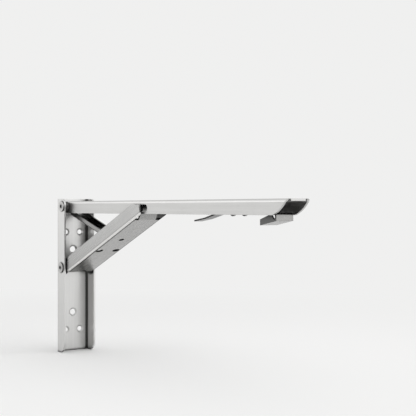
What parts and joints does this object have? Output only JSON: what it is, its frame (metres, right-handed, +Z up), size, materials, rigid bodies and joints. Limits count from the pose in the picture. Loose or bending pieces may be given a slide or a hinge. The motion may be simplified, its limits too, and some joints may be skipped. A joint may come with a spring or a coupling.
{
  "type": "folding shelf bracket",
  "caption": "Folding shelf bracket in satin stainless sheet: a wall channel, a hinged channel arm, a folding strut, a stay and a finger lever under the tip.",
  "frame": {"origin": "on the wall face, in the middle of the screw pattern", "axes": "+X out from the wall along the open arm, +Y across the bracket, +Z up"},
  "size_m": [0.3, 0.032, 0.1336],
  "materials": {
    "satin_sheet": "satin, brushed along each piece",
    "bright_pins": "turned, with dished heads",
    "spring_wire": "drawn wire"
  },
  "bodies": {
    "wall": {"wall_plate": "satin_sheet", "hinge_rivet": "bright_pins", "hinge_bush_near": "bright_pins", "hinge_bush_far": "bright_pins", "foot_rivet_near": "bright_pins", "foot_rivet_far": "bright_pins"},
    "arm": {"shelf_arm": "satin_sheet", "knee_catch": "satin_sheet", "lever_bracket": "satin_sheet", "lever_pin": "bright_pins", "lever_spring": "spring_wire"},
    "strut": {"strut": "satin_sheet", "knee_pin": "bright_pins", "stay_bracket": "satin_sheet", "stay_pin": "bright_pins"},
    "stay": {"stay_link": "satin_sheet"},
    "lever": {"release_lever": "satin_sheet"}
  },
  "joints": [
    {"name": "arm_fold", "type": "hinge", "parent": "wall", "child": "arm", "pos_m": [0.0099, 0, 0.0656], "axis": [0, 1, 0], "range_deg": [0, 89]},
    {"name": "strut_fold", "type": "hinge", "parent": "wall", "child": "strut", "pos_m": [0.0084, 0, 0.0124], "axis": [0, 1, 0], "range_deg": [0, 112.03]},
    {"name": "stay_swing", "type": "hinge", "parent": "strut", "child": "stay", "pos_m": [0.07491, 0, 0.03999], "axis": [0, 1, 0], "range_deg": [-39.68, 0]},
    {"name": "lever_squeeze", "type": "hinge", "parent": "arm", "child": "lever", "pos_m": [0.241, 0, 0.06395], "axis": [0, -1, 0], "range_deg": [0, 3], "stiffness_Nm_per_rad": 0.05, "springref_deg": -20.05}
  ],
  "couplings": [
    {"joint": "strut_fold", "follows": "arm_fold", "ratio": 1.2587},
    {"joint": "stay_swing", "follows": "arm_fold", "ratio": -0.44589}
  ]
}
